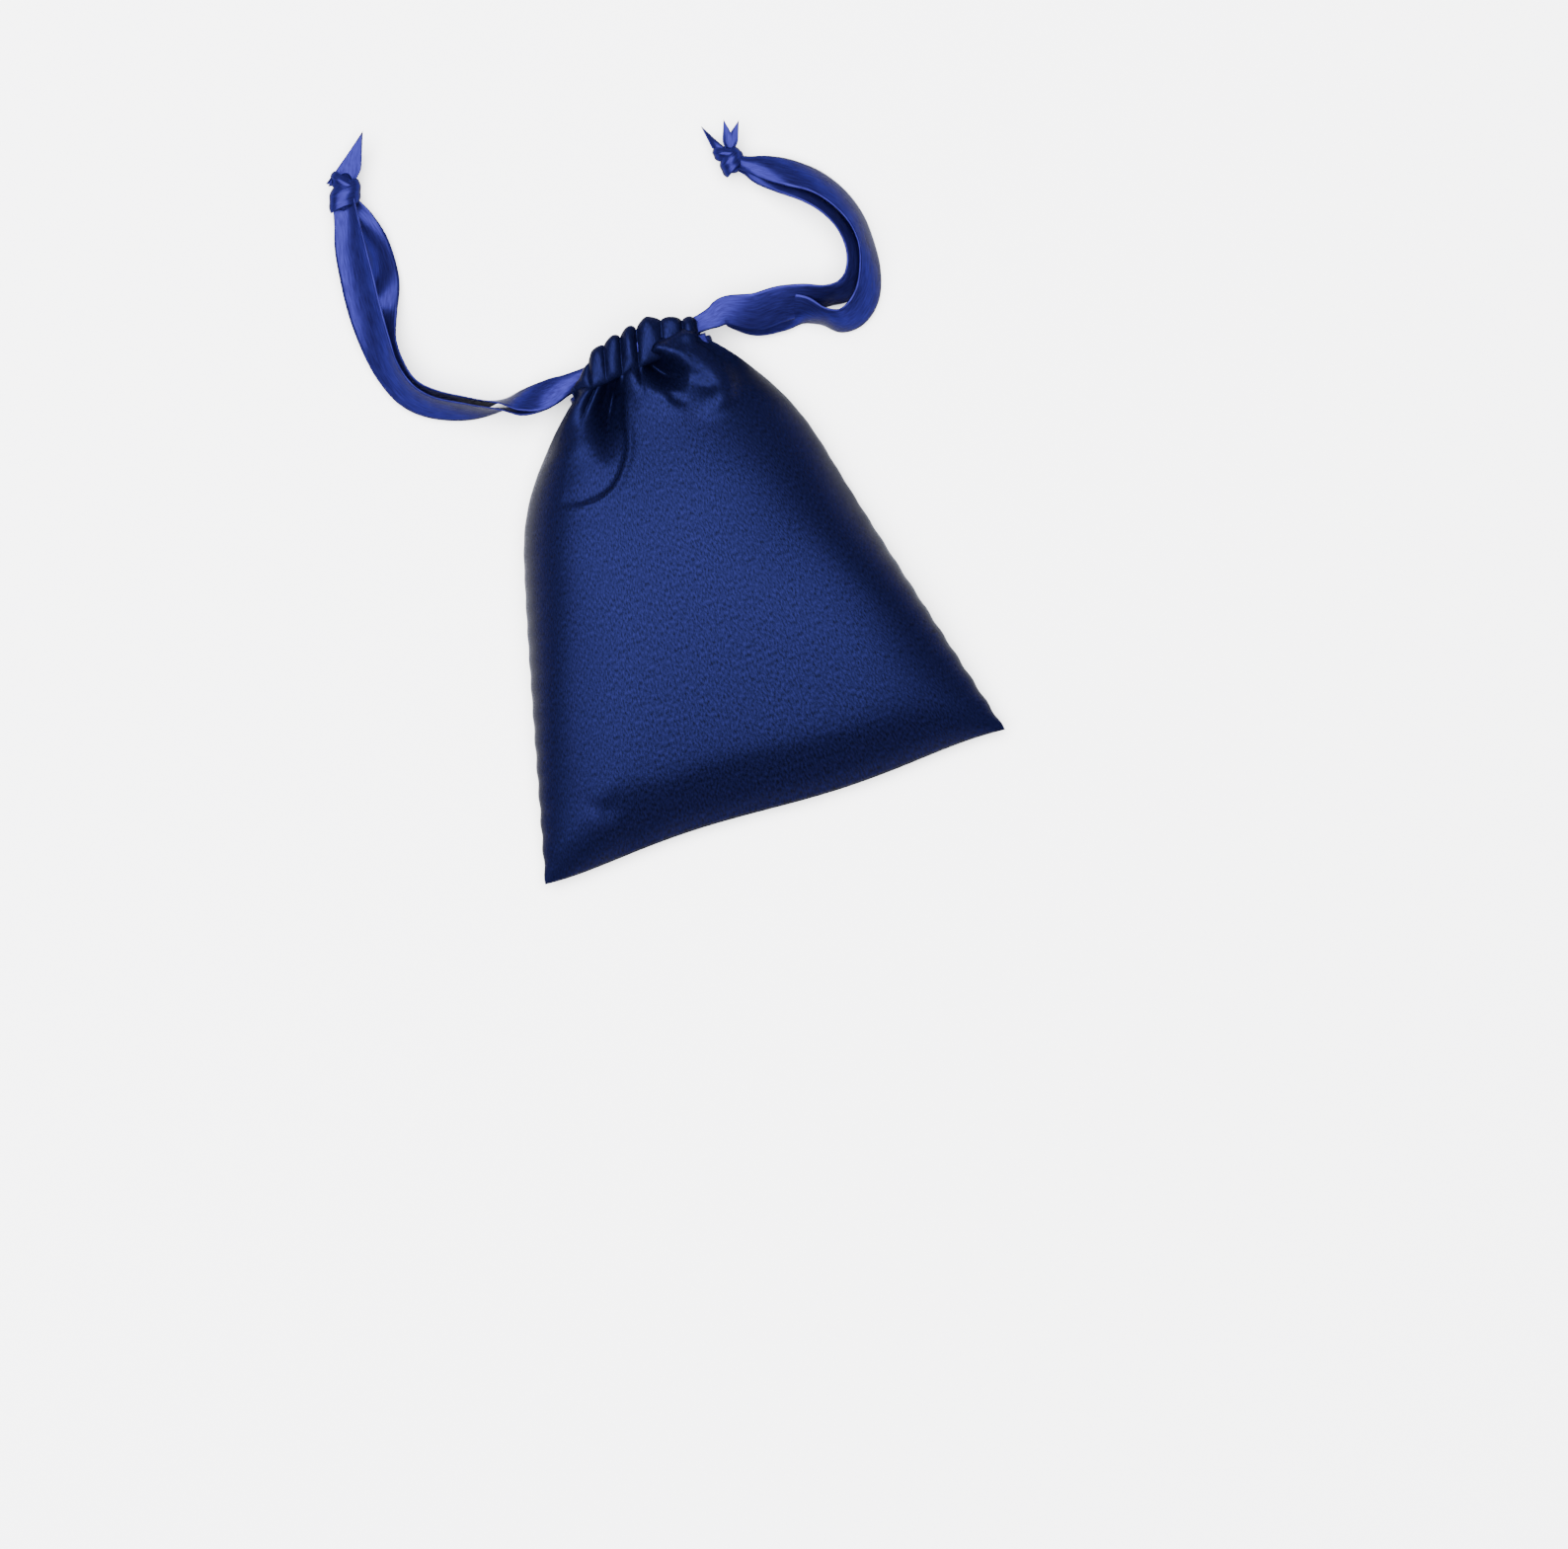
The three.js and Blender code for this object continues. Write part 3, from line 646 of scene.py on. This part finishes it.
def front_height(s, y):
    """Height of the front panel over its outline."""
    neckward = smooth(y, BODY_LENGTH - 0.013, BODY_LENGTH)
    edge = mix(SEAM_LEVEL, CLOTH_LEVEL - NECK_ARCH, smooth(y, BODY_LENGTH - 0.012, BODY_LENGTH))
    # The air has moved to the left, so that side is the fuller.
    drawn_in = smooth(y, 0.024, 0.066)
    fullness = np.where(s < 0, mix(5, 4.4, drawn_in), mix(7, 2.4, drawn_in))
    puffed = (1 - np.abs(s) ** fullness) ** mix(0.5, 0.61, drawn_in)
    dome = mix(puffed, 1 - s**2, neckward)
    height = edge + (crown(y) - edge) * dome

    x_at, y_at = on_outline(s, y)
    inside = smooth(1 - np.abs(s), 0, 0.12)
    for line, half, rise, fade_from, fade_to, blunt in HOLLOWS:
        gap, share = beside(line, x_at, y_at)
        spread = half * (0.4 + 0.6 * smooth(share, 0, 0.4))
        strength = (0.3 + 0.7 * smooth(share, 0, 0.3)) * (1 - smooth(share, fade_from, fade_to))
        height += rise * np.exp(-(np.abs(gap / spread) ** blunt)) * strength * inside
    for line, low_side, drop, spread, rim, half, fade_from in CREASES:
        gap, share = beside(line, x_at, y_at)
        strength = (1 - smooth(share, fade_from, 1)) * inside
        low = np.clip(low_side * gap, 0, None)
        height -= drop * smooth(low, 0, 0.0012) * np.exp(-low / spread) * strength
        height += rim * np.exp(-((gap / half) ** 2)) * strength
    pleats = smooth(y, BODY_LENGTH - 0.008, BODY_LENGTH - 0.0005)
    across, past = s * MOUTH_WIDTH / 2, y - BODY_LENGTH
    on_gather = gather(leant_back(across, np.clip(past, 0, None)))
    flop = (run_on(across) - STITCHED_OVER) / FLOP
    height -= PLEAT_DEPTH * (1 - on_gather) * pleats * (1 - 0.9 * flop)
    # The fold that flops back over the casing is full and round, and its edge tucks in.
    height += FLOP_RISE * flop * np.exp(-(((past - 0.0012) / 0.0030) ** 2))
    height -= EDGE_TUCK * smooth(past, run_on(across) - 0.0016, run_on(across))
    return height


def pouch_satin():
    """Woven polyester charmeuse satin: fine warp floats give a soft, wide gloss over deep blue, and
    the weave shows as a fine grain. Drawn coarser than its 0.1 mm threads so that it shows."""
    material, tree = new_material("charmeuse_satin")
    place = add_node(tree, "ShaderNodeTexCoord").outputs["UV"]
    warp = add_node(tree, "ShaderNodeMapping", {"Vector": place, "Scale": (3.2, 1.1, 1)})
    grain = add_node(
        tree, "ShaderNodeTexNoise", {"Vector": warp.outputs["Vector"], "Scale": 1.0, "Detail": 4.0}
    )
    tone = add_node(tree, "ShaderNodeValToRGB", {"Fac": grain.outputs["Fac"]})
    tone.color_ramp.elements[0].position = 0.3
    tone.color_ramp.elements[0].color = linear(0x04050F)
    tone.color_ramp.elements[1].position = 0.72
    tone.color_ramp.elements[1].color = linear(0x0F1030)
    bump = add_node(
        tree,
        "ShaderNodeBump",
        {"Height": grain.outputs["Fac"], "Strength": 0.5, "Distance": 0.00008},
    )
    shader = add_node(
        tree,
        "ShaderNodeBsdfPrincipled",
        {
            "Base Color": tone.outputs["Color"],
            "Metallic": 0.62,
            "Specular IOR Level": 0.05,
            "Roughness": 0.4,
            "Specular Tint": linear(0x404880),
            "Normal": bump.outputs["Normal"],
        },
    )
    return finish_material(material, shader)


POUCH_SATIN = pouch_satin()

# The mouth's own frame: x along the stitch line, y towards the crest.
NECK = np.array((MOUTH_SHIFT, BOTTOM_SEAM_AT + BODY_LENGTH))
ALONG_MOUTH = np.array((math.cos(MOUTH_TILT), math.sin(MOUTH_TILT)))
TO_CREST = np.array((-math.sin(MOUTH_TILT), math.cos(MOUTH_TILT)))
COARSE_GRID = (76, 84)  # faces across and along the simulated copy of the cloth
ENLARGED = 20
AIR_PRESSURE = 2.5
SETTLING_FRAMES = 16
MOST_MOVED = 0.0009  # no point of the cloth moves further than this


def front_corners(s, t):
    s = np.sin((s - 0.5) * np.pi)
    y = t * (BODY_LENGTH + run_on(s * MOUTH_WIDTH / 2))
    x_at, y_at = on_outline(s, y)
    return np.column_stack([x_at, y_at, front_height(s, y)])


def settled_by(s, t):
    """How far the cloth moves as the air inside presses on it: it is simulated on a coarser copy,
    enlarged to a size that the simulation handles well, and held at its seams and folded neck."""
    cloth, coarse_s, coarse_t = new_grid("front_panel_cloth", *COARSE_GRID)
    start = front_corners(coarse_s, coarse_t) * ENLARGED
    move_corners(cloth, start)
    from_seam = np.minimum(np.minimum(coarse_s, 1 - coarse_s), coarse_t)
    held = np.maximum(from_seam < 0.01, smooth(coarse_t, 0.62, 0.80))
    group = cloth.vertex_groups.new(name="held")
    for corner, weight in enumerate(held):
        group.add([corner], float(weight), "REPLACE")
    simulated = cloth.modifiers.new("settling", "CLOTH")
    simulated.settings.quality = 6
    simulated.settings.bending_stiffness = 0.6
    simulated.settings.use_pressure = True
    simulated.settings.uniform_pressure_force = AIR_PRESSURE
    simulated.settings.vertex_group_mass = "held"
    simulated.settings.effector_weights.gravity = 0
    simulated.point_cache.frame_end = SETTLING_FRAMES
    for step in range(1, SETTLING_FRAMES + 1):
        bpy.context.scene.frame_set(step)
    bpy.context.view_layer.objects.active = cloth
    bpy.ops.object.modifier_apply(modifier=simulated.name)
    bpy.context.scene.frame_set(1)
    corners = np.empty(3 * len(cloth.data.vertices))
    cloth.data.vertices.foreach_get("co", corners)
    moved = (corners.reshape(-1, 3) - start) / ENLARGED
    bpy.data.objects.remove(cloth)
    # Back on to the finer grid.
    columns, rows = COARSE_GRID
    moves = np.zeros((rows + 1, columns + 1, 3))
    moves[np.rint(coarse_t * rows).astype(int), np.rint(coarse_s * columns).astype(int)] = moved
    column, row = np.clip(s, 0, 1) * columns, np.clip(t, 0, 1) * rows
    i = np.clip(column.astype(int), 0, columns - 1)
    j = np.clip(row.astype(int), 0, rows - 1)
    right, up = (column - i)[:, None], (row - j)[:, None]
    near = mix(moves[j, i], moves[j, i + 1], right)
    far = mix(moves[j + 1, i], moves[j + 1, i + 1], right)
    moved = mix(near, far, up)
    size = np.linalg.norm(moved, axis=1)[:, None]
    return moved * MOST_MOVED * np.tanh(size / MOST_MOVED) / np.maximum(size, 1e-9)


front, s, t = new_grid("front_panel_satin", 190, 210)
corners = front_corners(s, t)
corners += settled_by(s, t)
move_corners(front, corners)
scale_uv(front, BOTTOM_WIDTH, BODY_LENGTH)
apply_modifier(front, "SOLIDIFY", thickness=CLOTH_THICK, offset=-1)
shade_smooth(front)
front.data.materials.append(POUCH_SATIN)
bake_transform(front)
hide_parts("front_panel")

# ---- Back panel -----------------------------------------------------------------------------------
# The same satin, lying on the table. Its edges lift to the seams, and its neck to the back casing.

SEAM_LIFT = 0.0034
NECK_LIFT = 0.0028
BACK_PLEAT_LIFT = 0.0012  # of the clefts between its pleats, at the stitch line

back, s, t = new_grid("back_panel_satin", 120, 130)
s = np.sin((s - 0.5) * np.pi)
y = t * BODY_LENGTH
x_at, y_at = on_outline(s, y)
side_lift = smooth(np.abs(s), 0.62, 1)
bottom_lift = 1 - smooth(y, 0, 0.012)
neck_lift = smooth(y, BODY_LENGTH - 0.020, BODY_LENGTH)
pleats = smooth(y, BODY_LENGTH - 0.014, BODY_LENGTH)
rise = np.maximum(SEAM_LIFT * (1 - (1 - side_lift) * (1 - bottom_lift)), NECK_LIFT * neck_lift)
rise += BACK_PLEAT_LIFT * (1 - gather(leant_back(s * MOUTH_WIDTH / 2, 0))) * pleats
move_corners(back, np.column_stack([x_at, y_at, rise]))
scale_uv(back, BOTTOM_WIDTH, BODY_LENGTH)
apply_modifier(back, "SOLIDIFY", thickness=CLOTH_THICK, offset=1)
shade_smooth(back)
back.data.materials.append(POUCH_SATIN)
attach(back, "pouch")
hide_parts("back_panel")

# ---- Casings --------------------------------------------------------------------------------------
# Each panel's top edge is turned over and stitched down as a tunnel. Drawn up on the ribbons, it
# bunches into seven rounded gathers with deep clefts between them, highest right of the middle.

CASING_THICK = 0.005
BACK_LEVEL = 0.0028
CASING_START = -0.0002  # from the stitch line


def in_neck(across, up, level):
    """Places points given along and up from the stitch line."""
    plan = NECK + np.outer(across, ALONG_MOUTH) + np.outer(up, TO_CREST)
    return np.column_stack([plan, level])


def front_level(across):
    return NECK_LEVEL - NECK_ARCH * (2 * across / MOUTH_WIDTH) ** 2


def back_level(across):
    return BACK_LEVEL + 0 * across


def gather_depth(across):
    """Some clefts are deeper than others."""
    return 1 + 0.3 * np.sin(across / 0.0029 + 0.8)


def gathered_casing(name, level_at, depth_share, cleft):
    """A tunnel of gathered cloth: s runs along the mouth and t round the tunnel."""
    piece, s, t = new_grid(name, 220, 72)
    across = (s - 0.5) * MOUTH_WIDTH
    full = gather(across)
    fold = gather_depth(across)
    angle = 2 * np.pi * t
    around, upward = np.cos(angle), np.sin(angle)
    depth = (crest_at(across) * depth_share - 0.0013 * fold * (1 - full) - CASING_START) / 2
    bulge = np.abs(upward) ** 0.75 * np.sign(upward)
    up = CASING_START + depth * (1 + np.abs(around) ** 0.85 * np.sign(around))
    half = CASING_THICK / 2 * np.clip(depth / 0.0036, 0.45, 1)
    level = level_at(across) + half * bulge
    # The clefts cut into the tunnel from both faces, and less where it is stitched.
    level -= cleft * fold * (1 - full) * bulge * (0.8 + 0.2 * around)
    # The gathers' small folds, where the cloth is doubled over.
    level += 0.00022 * np.sin(across / 0.0011 + 3 * around) * bulge * full
    lean = LEAN * (crest_at(across) - up) * smooth(across, -0.017, -0.008)
    move_corners(piece, in_neck(across - lean, up, level))
    scale_uv(piece, BOTTOM_WIDTH, 0.023)
    bpy.context.view_layer.objects.active = piece
    bpy.ops.object.mode_set(mode="EDIT")
    bpy.ops.mesh.select_all(action="SELECT")
    bpy.ops.mesh.remove_doubles(threshold=0.000005)
    bpy.ops.mesh.normals_make_consistent(inside=False)
    bpy.ops.object.mode_set(mode="OBJECT")
    apply_modifier(piece, "SOLIDIFY", thickness=CLOTH_THICK, offset=-1)
    shade_smooth(piece)
    piece.data.materials.append(POUCH_SATIN)
    return piece


front_casing = gathered_casing("front_casing_satin", front_level, 1.0, 0.0021)
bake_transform(front_casing)
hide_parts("front_casing")
back_casing = gathered_casing("back_casing_satin", back_level, 0.95, 0.0015)
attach(back_casing, "pouch")
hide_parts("back_casing")

# ---- Casing stitching -----------------------------------------------------------------------------
# One row of polyester lockstitch closes each tunnel. The gathers draw its stitches together.

STITCHES = 34
STITCH_LONG = 0.00085
STITCH_THICK = 0.0004
STITCH_UNDER = 0.0004  # the back row lies this far below its casing's middle


def thread():
    """Twisted polyester sewing thread, mercerised: fine slanting plies and a dull gloss."""
    material, tree = new_material("polyester_thread")
    place = add_node(tree, "ShaderNodeTexCoord").outputs["UV"]
    plies = add_node(
        tree,
        "ShaderNodeTexWave",
        {"Vector": place, "Scale": 5.0, "Distortion": 0.4},
        bands_direction="DIAGONAL",
    )
    tone = add_node(tree, "ShaderNodeValToRGB", {"Fac": plies.outputs["Fac"]})
    tone.color_ramp.elements[0].color = linear(0x060824)
    tone.color_ramp.elements[1].color = linear(0x0C1040)
    bump = add_node(
        tree, "ShaderNodeBump", {"Height": plies.outputs["Fac"], "Strength": 0.5, "Distance": 0.00005}
    )
    shader = add_node(
        tree,
        "ShaderNodeBsdfPrincipled",
        {"Base Color": tone.outputs["Color"], "Roughness": 0.6, "Normal": bump.outputs["Normal"]},
    )
    return finish_material(material, shader)


THREAD = thread()


def stitch_row(name, level_at, side):
    """Single stitches along the mouth, sunk into the cloth. side is 1 on top of it, -1 under it."""
    bpy.ops.object.select_all(action="DESELECT")
    bpy.ops.mesh.primitive_uv_sphere_add(segments=8, ring_count=6, radius=0.5)
    first = bpy.context.object
    shape = np.empty(3 * len(first.data.vertices))
    first.data.vertices.foreach_get("co", shape)
    shape = shape.reshape(-1, 3)
    stitches = []
    for i in range(STITCHES):
        stitch = first.copy()
        stitch.data = first.data.copy()
        bpy.context.collection.objects.link(stitch)
        across = (i + 0.5 - STITCHES / 2) * (MOUTH_WIDTH - 0.002) / STITCHES
        spot = np.array([across])
        level = level_at(spot)[0] - side * 0.0016 * (1 - gather(spot)[0])
        corners = in_neck(across + shape[:, 0] * STITCH_LONG, 0.0002 + shape[:, 1] * STITCH_THICK,
                          level + shape[:, 2] * STITCH_THICK)
        move_corners(stitch, corners)
        stitches.append(stitch)
    bpy.data.objects.remove(first)
    row = join_pieces(name, stitches)
    shade_smooth(row)
    row.data.materials.append(THREAD)
    return row


front_stitching = stitch_row("front_casing_stitches", front_level, 1)
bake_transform(front_stitching)
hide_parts("front_casing_stitching")
back_stitching = stitch_row("back_casing_stitches", lambda across: back_level(across) - STITCH_UNDER, -1)
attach(back_stitching, "pouch")
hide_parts("back_casing_stitching")

# ---- Ribbons inside the casings -----------------------------------------------------------------------
# Both ribbons run through both casings, folded lengthwise: each comes in at its own slit, crosses to
# the far one and turns back there into the other casing.

TURN_UP = 0.0001  # a ribbon turns back this far up from the stitch line
TURN_OUT = 0.0010  # and stands this far out of the slit
RUN_SHARE = 0.27  # of the ribbon's width, folded as it is in a casing
TURN_SHARE = 0.11  # and pinched as it turns back
FACES = (("front", front_level, "front_lip"), ("back", back_level, "pouch"))

for side, home in (("left", -1), ("right", 1)):
    for face, level_at, body in FACES:
        share = np.linspace(0, 1, 9)
        across = home * MOUTH_WIDTH / 2 * (0.62 - 1.62 * share)
        up = mix(crest_at(across) * 0.5, TURN_UP, smooth(share, 0.3, 1))
        level = level_at(across) + home * -0.0004
        flat = 0 * share
        rows = np.column_stack([in_neck(across, up, level), flat, RUN_SHARE + flat, flat])
        run = lay_ribbon(f"{side}_ribbon_{face}_run_satin", rows, across=6)[0]
        run.data.materials.append(RIBBON_SATIN)
        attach(run, body)
        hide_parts(f"{side}_ribbon_{face}_run")
    reach = -home * (MOUTH_WIDTH / 2 + TURN_OUT * np.sin(np.linspace(0, np.pi, 9)))
    level = mix(front_level(MOUTH_WIDTH / 2), BACK_LEVEL, 0.5 - 0.5 * np.cos(np.linspace(0, np.pi, 9)))
    flat = 0 * reach
    rows = np.column_stack([in_neck(reach, TURN_UP + flat, level), flat, TURN_SHARE + flat, flat])
    turn = lay_ribbon(
        f"{side}_ribbon_turn_satin", rows, across=6, fixed_wide=(*TO_CREST, 0)
    )[0]
    turn.data.materials.append(RIBBON_SATIN)
    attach(turn, "pouch")
    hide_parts(f"{side}_ribbon_turn")

# ---- Seam allowances ----------------------------------------------------------------------------------
# The overcast edges of the two panels, inside the pouch: they keep their plain shape, in the thread
# that covers them.


def overcast_edge():
    """Three-thread polyester overlock: close loops across the cloth's edge, 1.6 mm apart, matt."""
    material, tree = new_material("overlocked_thread")
    place = add_node(tree, "ShaderNodeTexCoord").outputs["Object"]
    loops = add_node(
        tree,
        "ShaderNodeTexWave",
        {"Vector": place, "Scale": 98.0, "Distortion": 0.6},
        bands_direction="DIAGONAL",
    )
    tone = add_node(tree, "ShaderNodeValToRGB", {"Fac": loops.outputs["Fac"]})
    tone.color_ramp.elements[0].color = linear(0x0A0C2C)
    tone.color_ramp.elements[1].color = linear(0x1A2058)
    bump = add_node(
        tree, "ShaderNodeBump", {"Height": loops.outputs["Fac"], "Strength": 0.6, "Distance": 0.0002}
    )
    shader = add_node(
        tree,
        "ShaderNodeBsdfPrincipled",
        {"Base Color": tone.outputs["Color"], "Roughness": 0.7, "Normal": bump.outputs["Normal"]},
    )
    return finish_material(material, shader)


OVERCAST = overcast_edge()
for name in ("left_seam_overlock", "right_seam_overlock", "bottom_seam_overlock"):
    node = bpy.data.objects[name]
    node.data.materials.clear()
    node.data.materials.append(OVERCAST)
